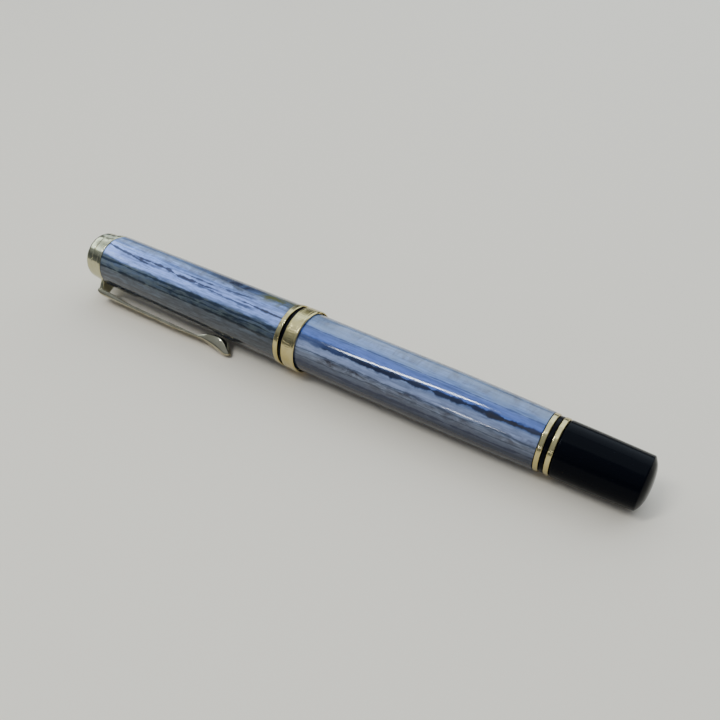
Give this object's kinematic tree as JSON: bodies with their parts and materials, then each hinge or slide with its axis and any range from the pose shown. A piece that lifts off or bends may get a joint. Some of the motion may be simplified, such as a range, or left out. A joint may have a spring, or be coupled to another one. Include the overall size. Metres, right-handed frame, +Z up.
{
  "type": "rollerball pen",
  "caption": "Capped rollerball pen with marbled resin cap and barrel, gold trim, sprung pocket clip and dark end knob; the cap, grip section and refill come apart.",
  "frame": {"origin": "middle of the pen's box, on the level of its lowest point", "axes": "+X along the pen from the crown to the end knob, +Z up with the pen lying on its side, clip towards -Y and down"},
  "size_m": [0.136, 0.0152, 0.0144],
  "materials": {
    "marbled_resin": "polished cast resin, grey-blue with dark lengthwise veins",
    "polished_gold": "polished pale gold plate",
    "black_resin": "polished black resin",
    "brass": "turned, fine tool marks",
    "steel": "turned stainless steel",
    "dark_plastic": "moulded, fine satin",
    "pale_plastic": "moulded, satin",
    "black_rubber": "matt elastomer",
    "ink_fibre": "bonded fibre soaked with ink"
  },
  "bodies": {
    "barrel": {"barrel_tube": "marbled_resin", "barrel_insert": "brass", "barrel_liner": "brass", "tail_ring_front": "polished_gold", "tail_ring_spacer": "black_resin", "tail_ring_rear": "polished_gold", "end_knob": "black_resin", "knob_stud": "brass", "stud_nut": "brass", "tail_weight": "brass", "refill_spring": "steel", "spring_seat": "pale_plastic"},
    "refill": {"refill_tip": "steel", "refill_tip_holder": "dark_plastic", "refill_tube": "pale_plastic", "ink_reservoir": "ink_fibre", "refill_end_plug": "dark_plastic"},
    "ball": {"writing_ball": "steel"},
    "grip_nose": {"nose_cone": "polished_gold"},
    "grip": {"grip_section": "black_resin", "grip_ring": "polished_gold", "grip_o_ring": "black_rubber"},
    "cap_liner": {"inner_cap": "dark_plastic", "tip_seal": "black_rubber"},
    "cap": {"cap_tube": "marbled_resin", "crown_knob": "polished_gold", "crown_collar": "polished_gold", "crown_disc": "polished_gold", "crown_screw": "steel", "clip_ring": "polished_gold", "thin_cap_ring": "polished_gold", "cap_ring_spacer": "black_resin", "wide_cap_band": "polished_gold", "cap_thread_bush": "brass"},
    "clip": {"clip_arm": "polished_gold"}
  },
  "joints": [
    {"name": "refill_draw", "type": "slide", "parent": "barrel", "child": "refill", "axis": [-1, 0, 0], "range_m": [0, 0.08]},
    {"name": "ball_roll", "type": "hinge", "parent": "refill", "child": "ball", "pos_m": [-0.0523, 0.0007, 0.00754], "axis": [0, 1, 0], "continuous": true},
    {"name": "grip_draw", "type": "slide", "parent": "refill", "child": "grip_nose", "axis": [-1, 0, 0], "range_m": [0, 0.052]},
    {"name": "grip_turn", "type": "hinge", "parent": "grip_nose", "child": "grip", "pos_m": [-0.03, 0.0007, 0.00754], "axis": [-1, 0, 0], "range_deg": [0, 1440]},
    {"name": "cap_pull", "type": "slide", "parent": "grip", "child": "cap_liner", "axis": [-1, 0, 0], "range_m": [0, 0.055]},
    {"name": "cap_turn", "type": "hinge", "parent": "cap_liner", "child": "cap", "pos_m": [-0.03, 0.0007, 0.00754], "axis": [-1, 0, 0], "range_deg": [0, 270]},
    {"name": "clip_flex", "type": "hinge", "parent": "cap", "child": "clip", "pos_m": [-0.0637, -0.00525, 0.00228], "axis": [0, 0.6626, -0.749], "range_deg": [0, 4], "stiffness_Nm_per_rad": 0.15, "springref_deg": -1.15}
  ]
}
